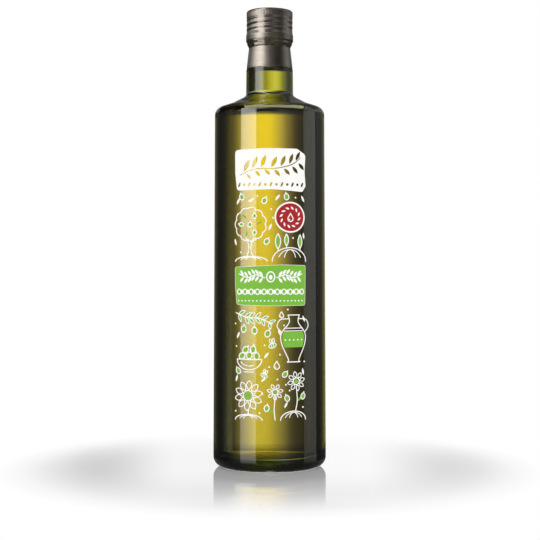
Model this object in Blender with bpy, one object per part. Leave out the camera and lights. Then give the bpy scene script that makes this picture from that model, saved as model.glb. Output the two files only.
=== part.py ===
"""A 75 cl glass bottle of cooking oil with a roll-on aluminium cap.

Metres, +Z up. The origin is the middle of the base, on the table that the bottle stands on. The glass is one turned
hollow, open at the mouth under the cap. The oil is one solid in it. The cap is one thin shell over the neck.
"""

from math import atan2, ceil, cos, hypot, pi, radians, sin, tan

import bmesh
import bpy

# Overall sizes
HEIGHT = 0.2922
FOOT_RADIUS = 0.0362
SHOULDER_RADIUS = 0.0352
NECK_RADIUS = 0.01512
CAP_RADIUS = 0.01485
CAP_HEIGHT = 0.0372

# Glass
WALL = 0.0029
HEEL_ROUNDING = 0.0063
BEARING_INNER_RADIUS = 0.0262
PUSH_UP = 0.0050
FLOOR_EDGE = 0.0076
FLOOR_MIDDLE = 0.0106
SHOULDER_HEIGHT = 0.2290
NECK_HEIGHT = 0.2375
BORE_RADIUS = 0.0094
NECK_BORE_RADIUS = 0.0108

# Cap: where each rolled form lies, measured up from the table
SKIRT_EDGE = HEIGHT - CAP_HEIGHT
SLIT_HEIGHT = 0.2686
BULGE_FOOT = 0.2719
THREAD_FOOT = 0.2784
THREAD_HEAD = 0.2870
CAP_WALL = 0.0004
WAIST_RADIUS = 0.01343
BULGE_RADIUS = 0.01518
THREAD_PITCH = 0.0034
THREAD_DEPTH = 0.00012
SLITS = 8
BRIDGE_WIDTH = 0.0012
SLIT_OPENING = 0.00045

# Oil: its level is hidden by the skirt of the cap
OIL_LEVEL = SKIRT_EDGE + 0.0030
GAP = 0.0003

# How finely round forms are divided
GLASS_SIDES = 48
CAP_SIDES = 44
OIL_SIDES = 48
ARC_STEP = radians(30)


def rounded(corners):
    """The (radius, height) points of an outline whose corners are (radius, height, rounding)."""
    points = []
    for i, (r, z, rounding) in enumerate(corners):
        if rounding == 0:
            points.append((r, z))
            continue
        to_last = (corners[i - 1][0] - r, corners[i - 1][1] - z)
        to_next = (corners[i + 1][0] - r, corners[i + 1][1] - z)
        last_angle = atan2(to_last[1], to_last[0])
        turn = (atan2(to_next[1], to_next[0]) - last_angle + pi) % (2 * pi) - pi
        reach = rounding / sin(abs(turn) / 2)
        middle = last_angle + turn / 2
        centre = (r + reach * cos(middle), z + reach * sin(middle))
        cut = rounding / tan(abs(turn) / 2)
        start = (r + cut * cos(last_angle) - centre[0], z + cut * sin(last_angle) - centre[1])
        start_angle = atan2(start[1], start[0])
        sweep = (pi - abs(turn)) * (1 if turn < 0 else -1)
        steps = max(1, ceil(abs(sweep) / ARC_STEP))
        for step in range(steps + 1):
            angle = start_angle + sweep * step / steps
            points.append((centre[0] + rounding * cos(angle), centre[1] + rounding * sin(angle)))
    return points


def turned(name, outline, sides, material):
    """An object turned from an outline that starts and ends on the axis, its outer side running down."""
    form = bmesh.new()
    points = [form.verts.new((r, 0, z)) for r, z in outline]
    edges = [form.edges.new(pair) for pair in zip(points, points[1:])]
    bmesh.ops.spin(form, geom=points + edges, cent=(0, 0, 0), axis=(0, 0, 1), angle=2 * pi, steps=sides,
                   use_merge=True)
    bmesh.ops.remove_doubles(form, verts=form.verts, dist=1e-6)
    bmesh.ops.recalc_face_normals(form, faces=form.faces)
    mesh = bpy.data.meshes.new(name)
    form.to_mesh(mesh)
    form.free()
    mesh.shade_smooth()
    mesh.set_sharp_from_angle(angle=radians(40))
    mesh.materials.append(material)
    thing = bpy.data.objects.new(name, mesh)
    bpy.context.scene.collection.objects.link(thing)
    return thing


def finish(name, colour, roughness, metallic=0.0, transmission=0.0, ior=1.5):
    """A material with one Principled BSDF."""
    material = bpy.data.materials.new(name)
    material.use_nodes = True
    shader = material.node_tree.nodes["Principled BSDF"]
    shader.inputs["Base Color"].default_value = (*colour, 1.0)
    shader.inputs["Roughness"].default_value = roughness
    shader.inputs["Metallic"].default_value = metallic
    shader.inputs["Transmission Weight"].default_value = transmission
    shader.inputs["IOR"].default_value = ior
    return material


def outer_glass():
    """The outside of the bottle from the lip down to the middle of the push-up."""
    lip_height = HEIGHT - CAP_WALL - 2 * GAP
    ledge_height = SKIRT_EDGE - GAP - 0.00005
    return [
        (0.0133, lip_height, 0.0010),
        (0.0133, BULGE_FOOT, 0),
        (0.0125, SLIT_HEIGHT + 0.0009, 0),
        (0.0125, SLIT_HEIGHT - 0.0003, 0),
        (0.0139, ledge_height + 0.0003, 0),
        (0.0139, ledge_height, 0),
        (0.0147, ledge_height, 0),
        (NECK_RADIUS - 0.0002, ledge_height - 0.0023, 0),
        (NECK_RADIUS - 0.0001, NECK_HEIGHT + 0.0100, 0),
        (NECK_RADIUS, NECK_HEIGHT, 0.0035),
        (0.0244, 0.2327, 0.0140),
        (SHOULDER_RADIUS, SHOULDER_HEIGHT, 0.0054),
        (FOOT_RADIUS, HEEL_ROUNDING + 0.004, 0),
        (FOOT_RADIUS, 0, HEEL_ROUNDING),
        (BEARING_INNER_RADIUS, 0, 0.0010),
        (0.0200, 0.6 * PUSH_UP, 0.0100),
        (0, PUSH_UP, 0),
    ]


def inner_glass(inset=0.0):
    """The inside of the bottle from the middle of its floor up to the mouth, drawn in by an inset."""
    return [
        (0, FLOOR_MIDDLE + inset, 0),
        (0.0180, FLOOR_EDGE + 0.0016 + inset, 0),
        (FOOT_RADIUS - WALL - inset, FLOOR_EDGE + inset, 0.0040),
        (FOOT_RADIUS - WALL - inset, SHOULDER_HEIGHT - 0.0019 - inset, 0.0014),
        (0.0187 - inset, 0.2284 - inset, 0.0091),
        (NECK_BORE_RADIUS + 0.0001 - inset, 0.2380 - inset, 0.0013),
        (NECK_BORE_RADIUS - inset, SKIRT_EDGE - 0.0010, 0),
    ]


def cap_outline():
    """The cap from the middle of its top, down its outside, round its edge and up its inside."""
    threads = ceil(5 * (THREAD_HEAD - THREAD_FOOT) / THREAD_PITCH)
    rows = [THREAD_HEAD + (THREAD_FOOT - THREAD_HEAD) * row / threads for row in range(1, threads)]
    thread_radius = CAP_RADIUS - THREAD_DEPTH
    outside = [
        (0, HEIGHT, 0),
        (CAP_RADIUS, HEIGHT, 0.0011),
        (CAP_RADIUS, THREAD_HEAD + 0.0010, 0),
        (thread_radius, THREAD_HEAD, 0),
        *[(thread_radius, row, 0) for row in rows],
        (thread_radius, THREAD_FOOT, 0),
        (BULGE_RADIUS, THREAD_FOOT - 0.0022, 0.0020),
        (BULGE_RADIUS, BULGE_FOOT + 0.0010, 0.0008),
        (0.01455, BULGE_FOOT, 0),
        (0.01440, SLIT_HEIGHT + 0.0021, 0),
        (WAIST_RADIUS, SLIT_HEIGHT + 0.0004, 0),
        (WAIST_RADIUS, SLIT_HEIGHT - 0.0008, 0),
        (0.01420, SLIT_HEIGHT - 0.0075, 0.0150),
        (0.01470, SKIRT_EDGE + 0.0015, 0),
        (0.01475, SKIRT_EDGE, 0),
    ]
    inside = [
        (0.01475 - CAP_WALL, SKIRT_EDGE, 0),
        (0.01425, SKIRT_EDGE + 0.0020, 0),
        (0.01365, SLIT_HEIGHT - 0.0075, 0),
        (WAIST_RADIUS - CAP_WALL, SLIT_HEIGHT - 0.0010, 0),
        (WAIST_RADIUS - CAP_WALL, SLIT_HEIGHT + 0.0006, 0),
        (0.01405, BULGE_FOOT, 0),
        (0.01420, THREAD_FOOT, 0),
        (0.01420, HEIGHT - CAP_WALL, 0.0008),
        (0, HEIGHT - CAP_WALL, 0),
    ]
    return outside + inside


def roll_threads(cap):
    """Presses a right-handed thread into the turned wall of the cap, fading at both ends."""
    for vertex in cap.data.vertices:
        x, y, z = vertex.co
        radius = hypot(x, y)
        if not THREAD_FOOT < z < THREAD_HEAD or radius < CAP_RADIUS - 3 * THREAD_DEPTH:
            continue
        run = (z - THREAD_FOOT) / (THREAD_HEAD - THREAD_FOOT)
        fade = min(1, 6 * run * (1 - run))
        wave = cos(2 * pi * (z - THREAD_FOOT) / THREAD_PITCH - atan2(y, x))
        swell = 1 + THREAD_DEPTH * fade * wave / radius
        vertex.co.x, vertex.co.y = x * swell, y * swell


def slit_cutter():
    """The slits of the tamper band: short arcs through the wall with a bridge of metal between each two."""
    inner, outer = WAIST_RADIUS - 3 * CAP_WALL, WAIST_RADIUS + 3 * CAP_WALL
    low, high = SLIT_HEIGHT - SLIT_OPENING / 2, SLIT_HEIGHT + SLIT_OPENING / 2
    share = 2 * pi / SLITS
    arc = share - BRIDGE_WIDTH / WAIST_RADIUS
    form = bmesh.new()
    for slit in range(SLITS):
        start = slit * share + BRIDGE_WIDTH / WAIST_RADIUS / 2
        end_face = form.faces.new([form.verts.new((r * cos(start), r * sin(start), z)) for r, z in
                                   ((inner, low), (outer, low), (outer, high), (inner, high))])
        bmesh.ops.spin(form, geom=[end_face, *end_face.edges, *end_face.verts], cent=(0, 0, 0), axis=(0, 0, 1),
                       angle=arc, steps=6)
    bmesh.ops.recalc_face_normals(form, faces=form.faces)
    mesh = bpy.data.meshes.new("slit_cutter")
    form.to_mesh(mesh)
    form.free()
    cutter = bpy.data.objects.new("slit_cutter", mesh)
    cutter.hide_render = True
    cutter.display_type = "WIRE"
    bpy.context.scene.collection.objects.link(cutter)
    return cutter


def main():
    for thing in list(bpy.data.objects):
        bpy.data.objects.remove(thing)

    glass = finish("green_glass", (0.30, 0.36, 0.16), 0.03, transmission=1.0, ior=1.52)
    golden_oil = finish("golden_oil", (0.72, 0.56, 0.05), 0.02, transmission=0.9, ior=1.47)
    aluminium = finish("dark_aluminium", (0.16, 0.15, 0.14), 0.28, metallic=1.0)

    mouth = [(BORE_RADIUS, SKIRT_EDGE + 0.0070, 0), (BORE_RADIUS, HEIGHT - CAP_WALL - 2 * GAP, 0.0010)]
    turned("bottle", rounded(inner_glass() + mouth + outer_glass()), GLASS_SIDES, glass)

    surface = (NECK_BORE_RADIUS - GAP - 0.0006, OIL_LEVEL, 0)
    oil_outside = inner_glass(inset=GAP) + [surface, (0, OIL_LEVEL, 0)]
    turned("oil", rounded(oil_outside[::-1]), OIL_SIDES, golden_oil)

    cap = turned("cap", rounded(cap_outline()), CAP_SIDES, aluminium)
    roll_threads(cap)
    slits = cap.modifiers.new("slits", "BOOLEAN")
    slits.operation = "DIFFERENCE"
    slits.solver = "EXACT"
    slits.object = slit_cutter()


main()
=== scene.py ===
"""The looks of a 75 cl bottle of golden cooking oil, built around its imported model. Metres, +Z up."""

from math import atan2, ceil, cos, degrees, hypot, pi, radians, sin, tan

import bmesh
import bpy
from mathutils import Matrix, Vector
from mathutils.geometry import delaunay_2d_cdt


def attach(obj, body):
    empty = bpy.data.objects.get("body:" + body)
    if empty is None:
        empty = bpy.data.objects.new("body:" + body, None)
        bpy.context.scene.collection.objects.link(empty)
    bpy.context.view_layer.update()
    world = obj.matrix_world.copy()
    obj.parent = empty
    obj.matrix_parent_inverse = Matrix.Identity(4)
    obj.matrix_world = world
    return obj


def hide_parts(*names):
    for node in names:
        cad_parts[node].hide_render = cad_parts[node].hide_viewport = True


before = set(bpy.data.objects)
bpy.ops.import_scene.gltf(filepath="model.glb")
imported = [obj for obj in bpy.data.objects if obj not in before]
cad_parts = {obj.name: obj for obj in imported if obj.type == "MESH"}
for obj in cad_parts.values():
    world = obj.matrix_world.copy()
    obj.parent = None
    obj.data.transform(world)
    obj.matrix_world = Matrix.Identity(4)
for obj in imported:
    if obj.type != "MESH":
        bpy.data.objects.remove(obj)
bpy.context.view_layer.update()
scene = bpy.context.scene
MM = 0.001


# The bottle is blown olive green glass, two to three millimetres thick in the wall and thicker in the foot,
# with a pushed-up base, a flat shoulder, a straight neck and a finish that the cap hides. Its colour is in
# the melt, so it shows by the length of glass that the light goes through.
FOOT_RADIUS = 36.2
SHOULDER_RADIUS = 35.2
NECK_RADIUS = 15.12
HEEL_HEIGHT = 10.3
SHOULDER_HEIGHT = 229.0
SKIRT_EDGE = 255.0
GLASS_SIDES = 192
ARC_STEP = radians(3)
GUARD = 0.25
LONGEST_RUN = 4.0
GLASS_INDEX = 1.52
GLASS_TAKES = (0.068, 0.060, 0.270)


def rounded(corners, arc_step=ARC_STEP):
    """The points of an outline whose corners are (across, up, rounding). A point stands close before and
    after each arc, so that smooth shading doesn't bend the straight runs beside it."""
    points = []
    for i, (across, up, rounding) in enumerate(corners):
        if rounding == 0:
            points.append((across, up))
            continue
        last, following = corners[i - 1], corners[(i + 1) % len(corners)]
        last_angle = atan2(last[1] - up, last[0] - across)
        next_angle = atan2(following[1] - up, following[0] - across)
        turn = (next_angle - last_angle + pi) % (2 * pi) - pi
        reach = rounding / sin(abs(turn) / 2)
        middle = last_angle + turn / 2
        centre = (across + reach * cos(middle), up + reach * sin(middle))
        cut = rounding / tan(abs(turn) / 2)
        touch = (across + cut * cos(last_angle), up + cut * sin(last_angle))
        start_angle = atan2(touch[1] - centre[1], touch[0] - centre[0])
        sweep = (pi - abs(turn)) * (1 if turn < 0 else -1)
        steps = max(1, ceil(abs(sweep) / arc_step))
        guard = cut + GUARD
        points.append((across + guard * cos(last_angle), up + guard * sin(last_angle)))
        for step in range(steps + 1):
            angle = start_angle + sweep * step / steps
            points.append((centre[0] + rounding * cos(angle), centre[1] + rounding * sin(angle)))
        points.append((across + guard * cos(next_angle), up + guard * sin(next_angle)))
    return points


def divided(points, longest):
    """The same outline with no run longer than a length, so that its smooth shading stays true."""
    fine = [points[0]]
    for (r0, z0), (r1, z1) in zip(points, points[1:]):
        parts = max(1, ceil(hypot(r1 - r0, z1 - z0) / longest))
        fine += [(r0 + (r1 - r0) * k / parts, z0 + (z1 - z0) * k / parts) for k in range(1, parts + 1)]
    return fine


def turned(name, outline, sides, shape=None):
    """A mesh turned from an outline in millimetres, from axis to axis. A shape moves its points."""
    vertices, rings = [], []
    for r, z in outline:
        ring = []
        for side in range(sides if r > 1e-6 else 1):
            angle = 2 * pi * side / sides
            place = (r, angle, z) if shape is None else shape(r, angle, z)
            ring.append(len(vertices))
            vertices.append((MM * place[0] * cos(place[1]), MM * place[0] * sin(place[1]), MM * place[2]))
        rings.append(ring)
    faces = []
    for upper, lower in zip(rings, rings[1:]):
        for side in range(sides):
            corners = []
            for ring, k in ((upper, side), (upper, side + 1), (lower, side + 1), (lower, side)):
                corner = ring[k % len(ring)]
                if corner not in corners:
                    corners.append(corner)
            faces.append(corners[::-1])
    mesh = bpy.data.meshes.new(name)
    mesh.from_pydata(vertices, [], faces)
    form = bmesh.new()
    form.from_mesh(mesh)
    bmesh.ops.recalc_face_normals(form, faces=form.faces)
    form.to_mesh(mesh)
    form.free()
    mesh.shade_smooth()
    mesh.set_sharp_from_angle(angle=radians(40))
    piece = bpy.data.objects.new(name, mesh)
    scene.collection.objects.link(piece)
    return piece


class Flow:
    """One output of a node tree, on which sums and products are written as Python."""

    def __init__(self, tree, socket=None):
        self.tree = tree
        self.socket = socket

    def node(self, kind, settings=(), sockets=(), output=0):
        """Adds a node of a type: its settings, set first, then the values or links of its sockets."""
        made = self.tree.nodes.new(kind)
        for name, value in dict(settings).items():
            if name != "stops":
                setattr(made, name, value)
                continue
            stops = made.color_ramp.elements
            stops.remove(stops[-1])
            for place, level in value:
                stop = stops[0] if place == value[0][0] else stops.new(place)
                stop.position = place
                stop.color = (level, level, level, 1.0)
        for name, value in dict(sockets).items():
            if isinstance(value, Flow):
                self.tree.links.new(value.socket, made.inputs[name])
            else:
                made.inputs[name].default_value = value
        return Flow(self.tree, made.outputs[output]) if made.outputs else None

    def of(self, output):
        """Another output of the same node."""
        return Flow(self.tree, self.socket.node.outputs[output])

    def math(self, operation, *values):
        return self.node("ShaderNodeMath", {"operation": operation}, dict(enumerate(values)))

    def rise(self, start, end):
        """0 up to start, 1 from end, and a smooth step between."""
        return self.node("ShaderNodeMapRange", {"interpolation_type": "SMOOTHSTEP"},
                         {"Value": self, "From Min": start, "From Max": end})

    def ramp(self, low, high, stops):
        """Levels at places between low and high, joined by straight lines."""
        spread = [((place - low) / (high - low), level) for place, level in stops]
        return self.node("ShaderNodeValToRGB", {"stops": spread}, {"Fac": (self - low) / (high - low)})

    def band(self, start, full, fading, end):
        """1 from full to fading, and smooth steps down to 0 at start and end."""
        return self.rise(start, full) * (1 - self.rise(fading, end))

    def between(self, one, other):
        """The mix of two colours, with this value as the share of the other."""
        return self.node("ShaderNodeMix", {"data_type": "RGBA"}, {0: self, 6: one, 7: other}, output=2)

    def __add__(self, other):
        return self.math("ADD", self, other)

    def __sub__(self, other):
        return self.math("SUBTRACT", self, other)

    def __rsub__(self, other):
        return self.math("SUBTRACT", other, self)

    def __mul__(self, other):
        return self.math("MULTIPLY", self, other)

    def __truediv__(self, other):
        return self.math("DIVIDE", self, other)

    __radd__ = __add__
    __rmul__ = __mul__


def material(name, piece, slot):
    """A new material on a piece: its Principled BSDF and the flow of its tree. The slot is not used."""
    new = bpy.data.materials.new(name)
    new.use_nodes = True
    piece.data.materials.clear()
    piece.data.materials.append(new)
    return new.node_tree.nodes["Principled BSDF"], Flow(new.node_tree)


def clear_stuff(name, piece, slot, index, takes):
    """A clear material that takes a share of red, green and blue in each millimetre."""
    shader, flow = material(name, piece, slot)
    shader.inputs["Base Color"].default_value = (1, 1, 1, 1)
    shader.inputs["Roughness"].default_value = 0.0
    shader.inputs["IOR"].default_value = index
    shader.inputs["Transmission Weight"].default_value = 1.0
    density = 1.1 * max(takes) / MM
    passes = [1 - take / MM / density for take in takes]
    depth = flow.node("ShaderNodeVolumeAbsorption", sockets={"Color": (*passes, 1), "Density": density})
    output = flow.tree.nodes["Material Output"]
    flow.tree.links.new(depth.socket, output.inputs["Volume"])
    return shader


def inner_wall(inset):
    """The inside of the glass from the middle of its floor up to the neck, drawn in by an inset."""
    return [
        (0, 10.6 + inset, 0),
        (18.0, 9.2 + inset, 0),
        (33.3 - inset, 7.6 + inset, 4.0),
        (33.3 - inset, 227.1 - inset, 1.4),
        (18.7 - inset, 228.4 - inset, 9.1),
        (10.9 - inset, 238.0, 1.3),
        (10.8 - inset, 254.0, 0),
    ]


def outer_wall():
    """The outside of the glass from the lip down to the middle of the push-up."""
    return [
        (13.3, 291.2, 1.0),
        (13.3, 271.9, 0),
        (12.5, 269.5, 0),
        (12.5, 268.3, 0),
        (13.9, 254.95, 0),
        (13.9, 254.65, 0),
        (14.97, 254.65, 0.05),
        (15.08, 245.5, 0),
        (NECK_RADIUS, 237.5, 3.5),
        (24.4, 232.7, 14.0),
        (SHOULDER_RADIUS, SHOULDER_HEIGHT, 5.4),
        (FOOT_RADIUS, HEEL_HEIGHT, 0),
        (FOOT_RADIUS, 0, 6.3),
        (26.2, 0, 1.0),
        (20.0, 3.0, 10.0),
        (0, 5.0, 0),
    ]


mouth = [(9.4, 262.0, 0), (9.4, 291.2, 1.0)]
glass_outline = divided(rounded(inner_wall(0) + mouth + outer_wall()), LONGEST_RUN)
glass = turned("bottle_glass", glass_outline, GLASS_SIDES)
clear_stuff("olive_green_glass", glass, "green_glass", GLASS_INDEX, GLASS_TAKES)
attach(glass, "root")
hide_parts("bottle")


# The oil fills the bottle to a level that the skirt of the cap hides. It wets the glass, so it reaches a
# quarter of a millimetre into the wall and leaves no air gap, and the wet wall throws back no light of its
# own.
OIL_LEVEL = 258.0
OIL_REACH = 0.25
OIL_INDEX = 1.47
OIL_TAKES = (0.0006, 0.0057, 0.0370)

oil_outline = rounded(inner_wall(-OIL_REACH) + [(10.1 + OIL_REACH, OIL_LEVEL, 0), (0, OIL_LEVEL, 0)])
oil = turned("golden_oil", divided(oil_outline, LONGEST_RUN), GLASS_SIDES)
oil_shader = clear_stuff("pressed_oil", oil, "golden_oil", OIL_INDEX, OIL_TAKES)
oil_shader.inputs["Specular Tint"].default_value = (0, 0, 0, 1)
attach(oil, "root")
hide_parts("oil")


# The print is fired enamel, screened on the glass in three inks, each a film a tenth of a millimetre thick.
# It is drawn flat here, in millimetres round the bottle from the middle of its front and up from the table,
# and then wrapped on the glass.
PRINT_LEFT, PRINT_RIGHT = -23.0, 24.4
LINE = 0.62
INK_STEP = 2.0
ENAMEL_SHEEN = 0.10
inks = {ink: {"fields": [], "openings": []} for ink in ("white", "green", "red")}


def filled(ink, outline, openings=()):
    """A field of ink inside an outline, with bare glass in its openings."""
    inks[ink]["fields"].append(outline)
    inks[ink]["openings"] += openings


def line(points, width=LINE, ink="white", closed=False):
    """A drawn line of one width with round ends, laid down as short pieces from point to point."""
    points = [Vector(point) for point in points]
    ends = points[1:] + points[:1] if closed else points[1:]
    for start, end in zip(points, ends):
        if (end - start).length < 1e-4:
            continue
        across = Vector((start.y - end.y, end.x - start.x)).normalized() * width / 2
        arc = [Matrix.Rotation(pi * k / 4, 2) @ across for k in range(5)]
        filled(ink, [tuple(start + turn) for turn in arc] + [tuple(end - turn) for turn in arc])


def curve(points, closed=False, steps=6):
    """A smooth run through points."""
    count = len(points)
    spans = count if closed else count - 1
    fine = []
    for i in range(spans):
        near = [(i + k) % count if closed else min(max(i + k, 0), count - 1) for k in (-1, 0, 1, 2)]
        p = [Vector(points[k]) for k in near]
        for step in range(steps):
            t = step / steps
            bend = 2 * p[0] - 5 * p[1] + 4 * p[2] - p[3]
            twist = 3 * p[1] - p[0] - 3 * p[2] + p[3]
            fine.append(tuple((2 * p[1] + (p[2] - p[0]) * t + bend * t ** 2 + twist * t ** 3) / 2))
    return fine if closed else [*fine, tuple(points[-1])]


def oval(u, z, wide, high, tilt=0.0, start=0.0, end=360.0, sides=28):
    """The points of an oval of half sizes wide and high, or of an arc of it, in degrees."""
    whole = end - start >= 360
    turn = Matrix.Rotation(radians(tilt), 2)
    angles = [radians(start + (end - start) * k / sides) for k in range(sides if whole else sides + 1)]
    return [tuple(Vector((u, z)) + turn @ Vector((wide * cos(a), high * sin(a)))) for a in angles]


def leaf_shape(u, z, length, heading, slim=0.30, sides=10):
    """The outline of a pointed leaf that grows from a place towards a heading in degrees."""
    along = Vector((cos(radians(heading)), sin(radians(heading))))
    across = Vector((-along.y, along.x)) * length * slim / 2
    sweep = [(k / sides, sin(pi * k / sides) ** 0.85) for k in range(sides + 1)]
    upper = [Vector((u, z)) + along * length * t + across * bulge for t, bulge in sweep]
    lower = [Vector((u, z)) + along * length * t - across * bulge for t, bulge in sweep[-2:0:-1]]
    return [tuple(point) for point in upper + lower]


def leaf(u, z, length, heading, ink="white"):
    filled(ink, leaf_shape(u, z, length, heading))


def olive(u, z, size=2.4, tilt=70.0):
    """A green olive in a white ring, with its stalk."""
    filled("green", oval(u, z, size * 0.72, size * 0.52, tilt))
    line(oval(u, z, size, size * 0.78, tilt), closed=True)
    tip = Vector((cos(radians(tilt)), sin(radians(tilt))))
    line([tuple(Vector((u, z)) + tip * size * reach) for reach in (1.05, 1.5)])


def dot(u, z, size=0.55, ink="white"):
    filled(ink, oval(u, z, size, size, sides=12))


def sprig(points, leaves, length, ink="green", lean=48.0):
    """A drawn stem with leaves in pairs along it."""
    stem = curve(points)
    line(stem)
    for k in range(leaves):
        i = round((k + 0.6) / leaves * (len(stem) - 2))
        heading = degrees(atan2(stem[i + 1][1] - stem[i][1], stem[i + 1][0] - stem[i][0]))
        for side in (-1, 1):
            outline = leaf_shape(*stem[i], length * (1 - 0.03 * k), heading + side * lean, slim=0.36)
            filled(ink, outline)
            line(outline, LINE * 0.75, closed=True)


def cypress(u, z, high):
    """A slim tree: a green spire in a white outline, on a short trunk."""
    line([(u, z), (u, z + high * 0.2)])
    spire = leaf_shape(u, z + high * 0.14, high * 0.86, 90, slim=0.34)
    filled("green", spire)
    line(spire, closed=True)


def flower(u, z, size, petals=8):
    """An open flower: green heart, white ring and a ring of drawn petals."""
    filled("green", oval(u, z, size * 0.24, size * 0.24, sides=16))
    line(oval(u, z, size * 0.36, size * 0.36), closed=True)
    for k in range(petals):
        heading = 360 * k / petals + 12
        reach = Vector((cos(radians(heading)), sin(radians(heading)))) * size * 0.42
        line(leaf_shape(u + reach.x, z + reach.y, size * 0.62, heading, slim=0.62), LINE * 0.85, closed=True)


def drop(u, z, size):
    """A drop of oil, drawn as a line with a glint in it."""
    outline = [(u, z + size * 1.9)] + oval(u, z, size, size, start=-205, end=25, sides=18)
    line(outline, closed=True)
    line(oval(u, z, size * 0.5, size * 0.5, start=190, end=250, sides=5), LINE * 0.7)


def jug(u, z, high):
    """A tall jug: drawn outline, green belly, two handles and bands."""
    wide = high * 0.30
    right = curve([(0.45 * wide, high), (0.36 * wide, 0.84 * high), (0.95 * wide, 0.60 * high),
                   (0.88 * wide, 0.36 * high), (0.42 * wide, 0.06 * high), (0.50 * wide, 0)])
    outline = [(u + a, z + b) for a, b in right] + [(u - a, z + b) for a, b in reversed(right)]
    line(outline, closed=True)
    belly = [(0.86 * a, b) for a, b in right if 0.28 * high < b < 0.66 * high]
    filled("green", [(u + a, z + b) for a, b in belly] + [(u - a, z + b) for a, b in reversed(belly)])
    for level in (0.66, 0.72):
        line([(u - 0.72 * wide, z + level * high), (u + 0.72 * wide, z + level * high)], LINE * 0.8)
    for side in (-1, 1):
        grip = [(0.42, 0.92), (1.02, 0.90), (1.24, 0.76), (0.94, 0.64)]
        line(curve([(u + side * a * wide, z + b * high) for a, b in grip]))
    for k in range(-2, 3):
        dot(u + k * 0.32 * wide, z + 0.47 * high, 0.5)


def bowl(u, z, wide):
    """A footed bowl with a heap of olives in it."""
    line(oval(u, z, wide, wide * 0.78, start=180, end=360) + [(u - wide, z)])
    line([(u - wide * 0.36, z - wide * 0.95), (u + wide * 0.36, z - wide * 0.95)])
    line(oval(u, z, wide * 0.72, wide * 0.50, start=200, end=300, sides=10), LINE * 0.8)
    for across, up in ((-0.58, 0.26), (0.02, 0.30), (0.60, 0.25), (-0.28, 0.72), (0.32, 0.74)):
        olive(u + across * wide, z + up * wide, wide * 0.27, 65 + 50 * across)


def bee(u, z, size, tilt):
    """A small bee: striped body and two wings."""
    turn = Matrix.Rotation(radians(tilt), 2)
    filled("green", oval(u, z, size, size * 0.62, tilt))
    line(oval(u, z, size, size * 0.62, tilt), LINE * 0.8, closed=True)
    for across in (-0.3, 0.25):
        ends = [Vector((u, z)) + turn @ Vector((across * size, side * 0.56 * size)) for side in (-1, 1)]
        line([tuple(end) for end in ends], LINE * 0.8)
    for wing in (62, 104):
        line(leaf_shape(u, z + 0.5 * size, size * 1.5, tilt + wing, slim=0.55), LINE * 0.8, closed=True)


def olive_tree(u, z, high):
    """A round tree: a forked trunk under a scalloped crown, with leaves and olives in a ring in it."""
    middle, half, scallops, steps = z + high * 0.66, high * 0.34, 11, 132
    crown = []
    for k in range(steps):
        turn = 2 * pi * k / steps
        reach = half * (0.9 + 0.1 * abs(sin(scallops * turn / 2)) ** 0.7)
        crown.append((u + reach * cos(turn), middle + reach * sin(turn)))
    line(crown, closed=True)
    for side in (-1, 1):
        trunk = [(u + side * 2.2, z), (u + side * 1.0, z + high * 0.12), (u + side * 0.9, z + high * 0.26)]
        line(curve(trunk + [(u + side * 2.6, z + high * 0.39)]))
    olive(u, middle - 0.2, 1.6, 80)
    for k in range(6):
        heading = 60 * k
        away = Vector((cos(radians(heading)), sin(radians(heading)))) * half * 0.56
        if k % 2:
            olive(u + away.x, middle + away.y, 1.5, 50 + 40 * k)
        else:
            leaf(u + away.x * 0.72, middle + away.y * 0.72, 3.8, heading + 24, "green")


def hills(low, crests):
    """Rounded hills, one behind the other, with ploughed lines down their sides."""
    for u0, u1, rise in crests:
        middle, half = (u0 + u1) / 2, (u1 - u0) / 2
        line(oval(middle, low, half, rise, start=0, end=180, sides=30))
        for share in (0.35, 0.68):
            line(oval(middle, low, half * share, rise * 0.86, start=20, end=160, sides=20), LINE * 0.8)


# The white field at the top, with a leafy branch and a small border left open as bare glass
branch = curve([(-19.2, 184.6), (-9.0, 188.2), (3.0, 188.4), (14.0, 191.0), (20.4, 195.6)], steps=6)
openings = [[(u, z + 0.32) for u, z in branch] + [(u, z - 0.32) for u, z in reversed(branch)]]
for k in range(7):
    u, z = branch[2 + 3 * k]
    openings.append(leaf_shape(u, z + 0.9, 8.4 - 0.3 * k, 62 + 4 * (k % 3), slim=0.34))
    openings.append(leaf_shape(u + 2.0, z - 0.6, 4.4 + 0.25 * k, -44 - 5 * (k % 2), slim=0.40))
for k in range(13):
    u = PRINT_LEFT + 3.3 + 3.42 * k
    bead, stroke = oval(u, 178.6, 0.85, 0.85, sides=14), oval(u, 178.6, 0.7, 1.6, tilt=-24, sides=18)
    openings.append(bead if k % 2 else stroke)
panel_corners = [(-22.9, 200.2, 2.2), (-4.0, 200.9, 0), (17.6, 200.9, 3.0), (24.0, 197.3, 2.4),
                 (23.3, 187.0, 0), (24.1, 178.0, 1.6), (21.6, 174.2, 1.8), (2.0, 175.6, 0),
                 (-21.4, 175.0, 2.2), (-22.8, 186.0, 0)]
filled("white", rounded(panel_corners, radians(12)), openings)

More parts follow.
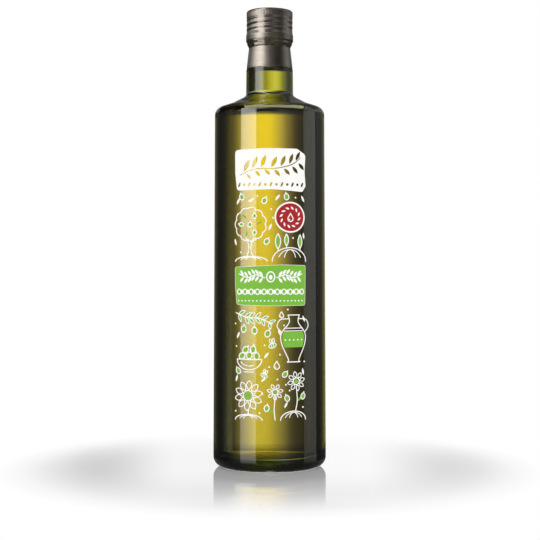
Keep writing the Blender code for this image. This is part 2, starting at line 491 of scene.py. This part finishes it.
# The upper picture: a tree, slim trees on a hill, and a red seal with a white rim, a wreath and a drop
olive_tree(-12.4, 133.6, 31.0)
hills(131.2, ((-22.6, -1.4, 3.0), (1.6, 24.2, 8.4)))
for u, z, high in ((5.2, 137.2, 11.0), (10.6, 139.4, 8.6), (19.8, 137.6, 10.0)):
    cypress(u, z, high)
SEAL = (13.2, 158.4)
filled("red", oval(*SEAL, 9.2, 8.6, sides=48))
line(oval(*SEAL, 9.7, 9.1, sides=48), 0.95, closed=True)
for k in range(12):
    heading = 30 * k + 8
    u, z = SEAL[0] + 5.3 * cos(radians(heading)), SEAL[1] + 5.0 * sin(radians(heading))
    filled("white", leaf_shape(u, z, 2.7, heading + 62, slim=0.42))
drop(SEAL[0], SEAL[1] - 0.9, 1.7)
for u, z, length, heading in ((-21.6, 166.4, 4.8, 62), (-13.6, 168.0, 4.8, 24), (3.4, 168.6, 4.8, 52),
                              (20.8, 172.0, 4.6, -62), (-0.6, 150.2, 4.6, 66), (-22.0, 141.0, 4.4, 104),
                              (22.8, 145.0, 4.0, 98)):
    leaf(u, z, length, heading)
for u, z, tilt in ((-18.0, 171.0, 110), (-3.2, 168.6, 64), (10.6, 171.0, 100), (-1.8, 143.4, 60)):
    olive(u, z, 1.9, tilt)
for u, z in ((-7.6, 171.4), (1.0, 163.4), (16.6, 170.6), (-20.8, 160.4), (2.2, 158.0), (-18.6, 136.8),
             (14.9, 145.6)):
    dot(u, z)

# The green band, with a garland of white leaves over two small borders
band_corners = [(-23.0, 127.6, 1.6), (-10.0, 128.0, 0), (8.0, 128.9, 0), (24.0, 128.6, 1.2),
                (23.9, 116.0, 0), (23.6, 103.8, 1.4), (0.0, 103.6, 0), (-21.6, 104.2, 1.8),
                (-22.8, 116.0, 0)]
band = rounded(band_corners, radians(12))
filled("green", band)
line([(u * 0.997, z + 0.1) for u, z in band], 0.2, closed=True)
BAND_MIDDLE = 0.7
for side in (-1, 1):
    swing = ((3.8, 121.0), (9.0, 122.8), (14.5, 121.2), (20.4, 123.4))
    arm = curve([(BAND_MIDDLE + side * away, z) for away, z in swing], steps=7)
    line(arm, 0.7)
    for k in range(6):
        u, z = arm[3 * k + 2]
        for up in (-1, 1):
            filled("white", leaf_shape(u, z + up * 0.4, 4.0, up * (90 - side * 36), slim=0.38))
line(oval(BAND_MIDDLE, 121.6, 2.5, 3.1, sides=24), 0.8, closed=True)
filled("white", oval(BAND_MIDDLE, 121.3, 1.1, 1.5, sides=16))
for k in range(11):
    u = PRINT_LEFT + 3.2 + 4.1 * k
    line(oval(u, 112.4, 1.3, 1.6, sides=16), 0.7, closed=True)
    if k < 10:
        filled("white", leaf_shape(u + 2.05, 110.6, 3.4, 90, slim=0.36))
for k in range(18):
    dot(PRINT_LEFT + 2.8 + 2.44 * k, 106.8, 0.5)

# The lower picture: a hanging branch, a jug, a bowl, flowers, bees and drops over low hills
sprig([(-22.2, 99.4), (-14.0, 96.4), (-6.0, 96.0), (1.6, 92.4)], 6, 5.0)
for u, z, tilt in ((-16.6, 89.4, 80), (-9.4, 88.4, 95), (-1.2, 86.6, 70)):
    olive(u, z, 2.1, tilt)
jug(15.4, 69.0, 29.0)
bowl(-13.0, 70.6, 8.2)
bee(1.8, 79.2, 2.3, 18)
bee(-3.4, 60.8, 2.0, -24)
drop(4.4, 66.4, 1.7)
drop(7.4, 97.6, 1.3)
flower(-13.6, 48.2, 9.0, petals=10)
flower(17.2, 57.0, 5.8)
flower(3.4, 50.6, 4.8, petals=7)
line(curve([(-13.6, 39.4), (-13.4, 38.0), (-13.6, 36.8)]))
line(curve([(3.4, 47.6), (2.8, 40.0), (3.4, 33.4)]))
line(curve([(17.2, 53.6), (17.8, 45.0), (16.6, 38.8)]))
for u, z, length, heading in ((3.0, 37.4, 5.0, 146), (17.6, 44.6, 4.6, 38)):
    leaf(u, z, length, heading, "green")
hills(33.2, ((-22.6, -4.6, 3.4), (6.8, 24.0, 5.4)))
for u, z, length, heading in ((-21.4, 83.4, 4.6, 66), (6.6, 85.4, 4.8, 104), (-3.4, 71.4, 4.6, 52),
                              (22.4, 60.6, 4.6, 100), (-22.2, 56.6, 4.6, 74), (9.2, 40.6, 4.4, 62),
                              (23.4, 93.6, 4.2, 112), (-5.4, 56.8, 4.2, 40)):
    leaf(u, z, length, heading)
for u, z, tilt in ((9.6, 61.4, 50), (-20.4, 63.4, 120), (-1.8, 40.6, 80), (22.0, 47.6, 75),
                   (11.0, 46.6, 110)):
    olive(u, z, 1.9, tilt)
for u, z in ((-3.0, 79.4), (6.4, 73.6), (-21.8, 78.6), (-0.2, 66.0), (10.2, 55.0), (-4.4, 49.4),
             (23.0, 69.0), (11.4, 101.4), (-22.6, 92.6), (9.0, 91.6), (-22.4, 38.4), (-6.2, 37.6),
             (12.6, 51.4), (4.8, 58.4), (22.0, 40.8)):
    dot(u, z)


def drawn(ink):
    """All the shapes of an ink as one flat mesh, less the openings, cut into narrow columns."""
    shapes = inks[ink]["fields"] + inks[ink]["openings"]
    corners, loops = [], []
    for shape in shapes:
        area = sum(a[0] * b[1] - b[0] * a[1] for a, b in zip(shape, shape[1:] + shape[:1]))
        loops.append(list(range(len(corners), len(corners) + len(shape))))
        corners += [Vector(point) for point in (shape if area > 0 else shape[::-1])]
    places, _, triangles, _, _, sources = delaunay_2d_cdt(corners, [], loops, 1, 1e-4)
    bare = set(range(len(inks[ink]["fields"]), len(shapes)))
    form = bmesh.new()
    points = [form.verts.new((*place, 0)) for place in places]
    for triangle, source in zip(triangles, sources):
        if source and not bare.intersection(source):
            form.faces.new([points[k] for k in triangle])
    bmesh.ops.delete(form, geom=[point for point in form.verts if not point.link_faces], context="VERTS")
    for k in range(1, ceil((PRINT_RIGHT - PRINT_LEFT + 2) / INK_STEP)):
        cut = PRINT_LEFT - 1 + k * INK_STEP
        everything = form.verts[:] + form.edges[:] + form.faces[:]
        bmesh.ops.bisect_plane(form, geom=everything, dist=1e-5, plane_co=(cut, 0, 0), plane_no=(1, 0, 0))
    return form


def wrapped(ink, height, colour, roughness):
    """A drawn ink bent round the glass, thickened and given its enamel."""
    form = drawn(ink)
    taper = (FOOT_RADIUS - SHOULDER_RADIUS) / (SHOULDER_HEIGHT - HEEL_HEIGHT)
    for vertex in form.verts:
        u, z = vertex.co.x, vertex.co.y
        wall = FOOT_RADIUS - taper * (z - HEEL_HEIGHT)
        angle = u / wall
        radius = wall + height
        vertex.co = (MM * radius * sin(angle), -MM * radius * cos(angle), MM * z)
    bmesh.ops.recalc_face_normals(form, faces=form.faces)
    for face in form.faces:
        face.normal_update()
        if face.normal.dot(face.calc_center_median() * Vector((1, 1, 0))) < 0:
            face.normal_flip()
    bmesh.ops.solidify(form, geom=form.faces[:], thickness=MM * (height + 0.03))
    mesh = bpy.data.meshes.new("print_" + ink)
    form.to_mesh(mesh)
    form.free()
    piece = bpy.data.objects.new("print_" + ink, mesh)
    scene.collection.objects.link(piece)
    shader, flow = material(ink + "_enamel", piece, "print")
    shader.inputs["Specular IOR Level"].default_value = ENAMEL_SHEEN
    place = flow.node("ShaderNodeTexCoord", output="Object")
    cloud = flow.node("ShaderNodeTexNoise", sockets={"Vector": place, "Scale": 220.0, "Detail": 3.0})
    grain = flow.node("ShaderNodeTexNoise", sockets={"Vector": place, "Scale": 5200.0, "Detail": 2.0})
    worn = tuple(0.93 * level for level in colour)
    tone = cloud.rise(0.3, 0.75).between((*colour, 1), (*worn, 1))
    flow.tree.links.new(tone.socket, shader.inputs["Base Color"])
    flow.tree.links.new((grain * 0.12 + roughness).socket, shader.inputs["Roughness"])
    bump = flow.node("ShaderNodeBump", sockets={"Strength": 0.12, "Distance": 0.00002, "Height": grain})
    flow.tree.links.new(bump.socket, shader.inputs["Normal"])
    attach(piece, "root")
    return piece


wrapped("green", 0.06, (0.185, 0.460, 0.050), 0.46)
wrapped("red", 0.06, (0.370, 0.018, 0.022), 0.46)
wrapped("white", 0.11, (0.900, 0.895, 0.860), 0.46)


# The cap is one shell of lacquered aluminium, 0.4 mm thick, rolled on the neck: a knurled rim, a rolled
# thread, a bead, and under a ring of slits the tamper band that flares to the neck. It is satin, with fine
# lines from the rolling.
HEIGHT = 292.2
CAP_RADIUS = 14.85
CAP_WALL = 0.4
THREAD_FOOT, THREAD_HEAD = 278.4, 287.0
THREAD_PITCH = 3.4
THREAD_DEPTH = 0.09
KNURLS = 96
KNURL_DEPTH = 0.10
KNURL_FOOT = 287.4
WAIST_RADIUS = 13.43
SLIT_HEIGHT = 268.6
SLIT_OPENING = 0.45
SLITS = 8
BRIDGE_WIDTH = 1.2
CAP_SIDES = 384
CAP_COLOUR = (0.125, 0.110, 0.095)


def rolled(radius, angle, height):
    """The rolled thread and the knurled rim, pressed into the outside of the cap."""
    if radius < CAP_RADIUS - 0.6:
        return radius, angle, height
    run = (height - THREAD_FOOT) / (THREAD_HEAD - THREAD_FOOT)
    if 0 < run < 1:
        fade = min(1, 6 * run * (1 - run))
        radius += THREAD_DEPTH * fade * cos(2 * pi * (height - THREAD_FOOT) / THREAD_PITCH - angle)
    if KNURL_FOOT < height < HEIGHT - 0.9:
        share = (height - KNURL_FOOT) / (HEIGHT - 0.9 - KNURL_FOOT)
        radius -= KNURL_DEPTH * min(1, 8 * share * (1 - share)) * (0.5 + 0.5 * cos(KNURLS * angle))
    return radius, angle, height


cap_outside = [
    (0, HEIGHT, 0),
    (CAP_RADIUS, HEIGHT, 1.1),
    (CAP_RADIUS, THREAD_HEAD + 1.0, 0),
    (CAP_RADIUS - THREAD_DEPTH, THREAD_HEAD, 0),
    (CAP_RADIUS - THREAD_DEPTH, THREAD_FOOT, 0),
    (15.18, THREAD_FOOT - 2.2, 2.0),
    (15.18, 272.9, 0.8),
    (14.55, 271.9, 0),
    (14.40, 270.7, 0),
    (WAIST_RADIUS, 269.0, 0),
    (WAIST_RADIUS, 267.8, 0),
    (14.20, 261.1, 15.0),
    (14.70, 256.5, 0),
    (14.75, SKIRT_EDGE, 0),
]
cap_inside = [
    (14.75 - CAP_WALL, SKIRT_EDGE, 0),
    (14.25, 257.0, 0),
    (13.65, 261.1, 0),
    (13.03, 267.6, 0),
    (13.03, 269.2, 0),
    (14.05, 271.9, 0),
    (14.20, 278.4, 0),
    (14.20, HEIGHT - CAP_WALL, 0.8),
    (0, HEIGHT - CAP_WALL, 0),
]
cap_outline = divided(rounded(cap_outside, radians(6)), 0.3) + rounded(cap_inside, radians(15))
cap = turned("roll_on_cap", cap_outline, CAP_SIDES, rolled)


def slit_cutter():
    """Short arcs of a thin ring through the wall, with a bridge of metal between each two."""
    inner, outer = WAIST_RADIUS - 3 * CAP_WALL, WAIST_RADIUS + 3 * CAP_WALL
    low, high = SLIT_HEIGHT - SLIT_OPENING / 2, SLIT_HEIGHT + SLIT_OPENING / 2
    share = 2 * pi / SLITS
    bridge = BRIDGE_WIDTH / WAIST_RADIUS
    form = bmesh.new()
    for slit in range(SLITS):
        start = slit * share + bridge / 2
        section = ((inner, low), (outer, low), (outer, high), (inner, high))
        corners = [form.verts.new((MM * r * cos(start), MM * r * sin(start), MM * z)) for r, z in section]
        end_face = form.faces.new(corners)
        bmesh.ops.spin(form, geom=[end_face, *end_face.edges, *corners], cent=(0, 0, 0), axis=(0, 0, 1),
                       angle=share - bridge, steps=24)
    bmesh.ops.recalc_face_normals(form, faces=form.faces)
    mesh = bpy.data.meshes.new("slit_cutter")
    form.to_mesh(mesh)
    form.free()
    cutter = bpy.data.objects.new("slit_cutter", mesh)
    scene.collection.objects.link(cutter)
    return cutter


cutter = slit_cutter()
slits = cap.modifiers.new("slits", "BOOLEAN")
slits.operation = "DIFFERENCE"
slits.solver = "EXACT"
slits.object = cutter
bpy.context.view_layer.update()
slit_mesh = bpy.data.meshes.new_from_object(cap.evaluated_get(bpy.context.evaluated_depsgraph_get()))
cap.modifiers.clear()
cap.data = slit_mesh
bpy.data.objects.remove(cutter)

shader, flow = material("satin_aluminium", cap, "dark_aluminium")
place = flow.node("ShaderNodeTexCoord", output="Object")
stretched = flow.node("ShaderNodeVectorMath", {"operation": "MULTIPLY"}, {0: place, 1: (60.0, 60.0, 5200.0)})
fine_lines = flow.node("ShaderNodeTexNoise", sockets={"Vector": stretched, "Scale": 1.0, "Detail": 3.0})
cloud = flow.node("ShaderNodeTexNoise", sockets={"Vector": place, "Scale": 160.0, "Detail": 2.0})
pale = tuple(1.12 * level for level in CAP_COLOUR)
dark = tuple(0.88 * level for level in CAP_COLOUR)
tone = (fine_lines * 0.6 + cloud * 0.4).rise(0.3, 0.7).between((*dark, 1), (*pale, 1))
flow.tree.links.new(tone.socket, shader.inputs["Base Color"])
flow.tree.links.new((fine_lines * 0.06 + 0.18).socket, shader.inputs["Roughness"])
bump = flow.node("ShaderNodeBump", sockets={"Strength": 0.10, "Distance": 0.00002, "Height": fine_lines})
flow.tree.links.new(bump.socket, shader.inputs["Normal"])
shader.inputs["Metallic"].default_value = 1.0
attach(cap, "root")
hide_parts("cap")


# The studio: a white floor that mirrors the foot of the bottle and fades to plain white round it, with a
# soft contact shadow painted darker into its glow under the heel. It isn't part of the object, and it lights
# nothing, so the dark glass stays dark.
MIRROR_FADE = [(38, 1.0), (56, 0.95), (70, 0.86), (90, 0.76), (109, 0.62), (133, 0.37),
               (155, 0.12), (174, 0.0)]
MIRROR_GAIN = 1.68
PAINTED_CONTACT_SHADOW = [(26.0, 0.02), (30.0, 0.12), (32.5, 0.6), (35.0, 1.0)]


def stage_material(name, mesh):
    """A new empty material on a thing of the studio: the flow of its tree."""
    material = bpy.data.materials.new(name)
    material.use_nodes = True
    material.node_tree.nodes.clear()
    mesh.materials.append(material)
    return Flow(material.node_tree)


floor_mesh = bpy.data.meshes.new("floor")
form = bmesh.new()
bmesh.ops.create_grid(form, x_segments=8, y_segments=8, size=6.0)
form.to_mesh(floor_mesh)
form.free()
floor = bpy.data.objects.new("floor", floor_mesh)
floor.location = (0, 0, -0.0002)
scene.collection.objects.link(floor)
flow = stage_material("white_floor", floor_mesh)
place = flow.node("ShaderNodeTexCoord", output="Object")
away = flow.node("ShaderNodeVectorMath", {"operation": "LENGTH"}, {0: place}, output="Value") / MM
gloss = flow.node("ShaderNodeFresnel", sockets={"IOR": 1.5})
share = gloss * away.ramp(0, 200, MIRROR_FADE) * MIRROR_GAIN
# The floor's glow is painted darker close round the heel: a painted contact shadow, not a cast one.
plain = flow.node("ShaderNodeEmission", sockets={"Color": away.ramp(0, 60, PAINTED_CONTACT_SHADOW)})
mirror = flow.node("ShaderNodeBsdfGlossy", sockets={"Roughness": 0.02})
mixed = flow.node("ShaderNodeMixShader", sockets={0: share, 1: plain, 2: mirror})
flow.node("ShaderNodeOutputMaterial", sockets={"Surface": mixed})
floor.visible_diffuse = False
floor.visible_glossy = False
floor.visible_transmission = False


# Cards hang close over the shoulder, where only its rounding can mirror their undersides: a pale one in
# front, for the bright line along the rim, and black ones on the left, which keep the lamp off it. Their
# upper sides face the cap, whose bead mirrors a black one in front and a pale one on the left.
def hung_card(name, edge, left, right, colour, level):
    """A card that an edge in radius and height sweeps from one bearing to another, in degrees."""
    left, right = radians(left), radians(right)
    form = bmesh.new()
    ends = [form.verts.new((MM * r * sin(left), -MM * r * cos(left), MM * z)) for r, z in edge]
    bmesh.ops.spin(form, geom=[*ends, form.edges.new(ends)], cent=(0, 0, 0), axis=(0, 0, 1),
                   angle=right - left, steps=24)
    mesh = bpy.data.meshes.new(name)
    form.to_mesh(mesh)
    form.free()
    card = bpy.data.objects.new(name, mesh)
    scene.collection.objects.link(card)
    flow = stage_material(name, mesh)
    plain = flow.node("ShaderNodeEmission", sockets={"Color": colour, "Strength": level})
    flow.node("ShaderNodeOutputMaterial", sockets={"Surface": plain})
    card.visible_camera = False
    card.visible_diffuse = False
    card.visible_transmission = False
    card.visible_shadow = False


hung_card("pale_card", [(40, 241), (64, 241)], -38, 56, (1.0, 0.98, 0.5, 1), 5.8)
hung_card("black_back", [(39.5, 241.2), (64.5, 241.2)], -105, 58, (0.04, 0.04, 0.035, 1), 1.0)
hung_card("pale_back", [(39.5, 241.4), (64.5, 241.4)], -85, -26, (1.0, 0.97, 0.92, 1), 4.5)
hung_card("black_card", [(60, 229.7), (60, 240.5)], -105, -44, (0.03, 0.03, 0.02, 1), 1.0)


# The light is one studio all round: a white backdrop, a glow behind that comes through the glass, and a tall
# lamp on the left and a dimmer card on the right that glass and cap mirror. The glow goes by the bearing round
# the back at which a ray leaves the glass low, high or by the neck, and the rest by the bearing of the front.
GLOW_FOOT = [(-97, 0), (-90, 1), (-80, 1), (-70, 0.31), (-58, 0.04), (-48, 0), (-30, 0.01), (-17, 0.04),
             (-13, 0.08), (-9, 0.19), (-5, 0.34), (-1, 0.53), (2, 0.63), (8, 0.67), (10, 0.61), (14, 0.43),
             (19, 0.23), (22, 0.12), (26, 0.05), (35, 0.01), (46, 0), (58, 0.01), (71, 0.12), (88, 0.31),
             (97, 0)]
GLOW_HEAD = [(-97, 0), (-90, 0.41), (-64, 0.02), (-52, 0), (-33, 0), (-26, 0.01), (-20, 0.03), (-17, 0.06),
             (-15, 0.11), (-11, 0.22), (-9, 0.34), (-5, 0.60), (-1, 0.85), (1, 0.90), (6, 0.90), (8, 0.85),
             (12, 0.72), (15, 0.67), (17, 0.59), (20, 0.41), (22, 0.25), (25, 0.15), (29, 0.06), (37, 0.01),
             (50, 0), (61, 0.01), (75, 0.21), (90, 0.34), (97, 0)]
GLOW_NECK = [(-100, 0), (-85, 0.21), (-62, 0.18), (-48, 0.08), (-40, 0.04), (-35, 0.04), (-29, 0.12),
             (-26, 0.19), (-22, 0.32), (-19, 0.45), (-14, 0.69), (-9, 0.79), (-4, 0.72), (0, 0.61),
             (5, 0.39), (9, 0.37), (14, 0.24), (20, 0.08), (27, 0.01), (36, 0), (50, 0.01), (62, 0.07),
             (75, 0.21), (88, 0.21), (100, 0)]
GLOW_BEYOND = [(-90, 0.4), (-45, 0.6), (-20, 0.6), (-15, 0.5), (-11, 0.8), (-8, 1.0), (10, 1.0), (12, 0.9),
               (25, 0.4), (40, 0.15), (90, 0.1)]
GLOW_LEVEL = 1.42
STEEP_GLOW, LOW_GLOW, HIGH_GLOW = (0.9, 1.04, 1.5, 1), (1.0, 1.06, 2.0, 1), (1.0, 0.985, 0.44, 1)
LAMP = 5.7
LAMP_LOW = [(-30, 0.0), (-9.2, 0.02), (-8.9, 0.12), (-8.4, 0.42), (-7.6, 0.44), (6.2, 1.0), (60, 1.0)]
CARD = 0.90
CARD_LOW = [(-30, 0.0), (-12, 0.2), (-8.6, 0.52), (6.2, 1.0), (60, 1.0)]
TAIL_LOW = [(-30, 0.0), (-8.6, 0.02), (6.2, 0.22), (60, 0.4)]
VEIL = [(-180, 0.09), (-127, 0.10), (-96, 0.17), (-80, 0.34), (-65, 0.60), (-56, 0.40), (-27, 0.28),
        (2, 0.28), (14, 0.50), (20, 0.70), (27, 0.82), (34, 0.75), (42, 0.60), (50, 0.45), (72, 0.33),
        (100, 0.10), (180, 0.07)]
VEIL_LOW = [(-30, 0.0), (-11, 0.2), (-8.6, 0.62), (6.2, 1.0), (60, 1.0)]
FROM_BELOW = 0.15
CAP_LIGHT = [(-180, 0.02), (-150, 0.05), (-122, 0.08), (-97, 0.32), (-77, 0.79), (-59, 1.0), (-43, 0.86),
             (-28, 0.48), (-13, 0.23), (2, 0.10), (17, 0.04), (32, 0.01), (50, 0.01), (70, 0.03), (82, 0.07),
             (103, 0.15), (115, 0.13), (131, 0.06), (180, 0.02)]
CAP_LEVEL = 7.6
PRINT_LIGHT = 1.14

world = bpy.data.worlds.new("studio")
scene.world = world
world.use_nodes = True
world.node_tree.nodes.clear()
world.cycles.sampling_method = "NONE"
flow = Flow(world.node_tree)
way = flow.node("ShaderNodeTexCoord", output="Generated")
across = flow.node("ShaderNodeSeparateXYZ", sockets={0: way})
east, north, up = across, across.of("Y"), across.of("Z")
round_back = flow.math("ARCTAN2", east, north) * (180 / pi)
round_front = flow.math("ARCTAN2", east, north * -1) * (180 / pi)
climb = flow.math("ARCSINE", up) * (180 / pi)

low_glow = round_back.ramp(-100, 100, GLOW_FOOT)
high_glow = round_back.ramp(-100, 100, GLOW_HEAD)
neck_glow = round_back.ramp(-100, 100, GLOW_NECK)
up_body = climb.ramp(-90, 90, [(-7.6, 0.0), (6.2, 1.0)])
by_neck = climb.band(7.35, 7.6, 9.3, 9.7)
body_glow = low_glow + (high_glow - low_glow) * up_body
glow_level = (body_glow + (neck_glow - body_glow) * by_neck) * climb.ramp(-90, 90, GLOW_BEYOND) * GLOW_LEVEL
body_colour = climb.rise(-9, 7).between(LOW_GLOW, HIGH_GLOW)
glow_colour = climb.rise(-24, -14).between(STEEP_GLOW, body_colour)

by_top = climb.band(8.2, 8.6, 10.5, 10.9)
by_cap = climb.band(10.5, 10.9, 24, 27)
body_lamp = round_front.band(-63, -60.5, -29.2, -26.4)
neck_lamp = round_front.band(-80, -68, -42, -22) * 0.88
lamp = (body_lamp + (neck_lamp - body_lamp) * by_top) * climb.ramp(-60, 60, LAMP_LOW) * LAMP
tail = round_front.rise(110, 112) * (1 - round_front.rise(117, 135) * 0.6) * climb.ramp(-60, 60, TAIL_LOW)
card = round_front.band(73.5, 75.5, 109, 111.5) * climb.ramp(-60, 60, CARD_LOW) * CARD * (1 - by_top * 0.45)
backdrop = round_back.band(-9, -4, 4, 10) * (1 - climb.rise(9, 12))
veil = round_front.ramp(-180, 180, VEIL) * climb.ramp(-60, 60, VEIL_LOW)
below = (1 - climb.rise(-12, -9)) * FROM_BELOW
glass_cards = lamp + card + tail + backdrop + veil + below
cap_cards = round_front.ramp(-180, 180, CAP_LIGHT) * CAP_LEVEL
cards = glass_cards + (cap_cards - glass_cards) * by_cap

kinds = flow.node("ShaderNodeLightPath", output="Is Camera Ray")
through = kinds.of("Is Transmission Ray")
strength = (kinds + kinds.of("Is Diffuse Ray") * PRINT_LIGHT + through * glow_level
            + kinds.of("Is Glossy Ray") * (1 - through) * cards)
colour = through.between((1, 1, 1, 1), glow_colour)
light = flow.node("ShaderNodeBackground", sockets={"Color": colour, "Strength": strength})
flow.node("ShaderNodeOutputWorld", sockets={"Surface": light})

scene.view_settings.view_transform = "Standard"

# A long lens, level and 800 mm in front, at a little under half the height of the bottle
camera_data = bpy.data.cameras.new("camera")
camera_data.sensor_width = 36.0
camera_data.lens = 82.73
camera_data.clip_start = 0.01
camera = bpy.data.objects.new("camera", camera_data)
camera.location = (0.00025, -0.800, 0.1258)
camera.rotation_euler = (radians(90), 0, 0)
scene.collection.objects.link(camera)
scene.camera = camera
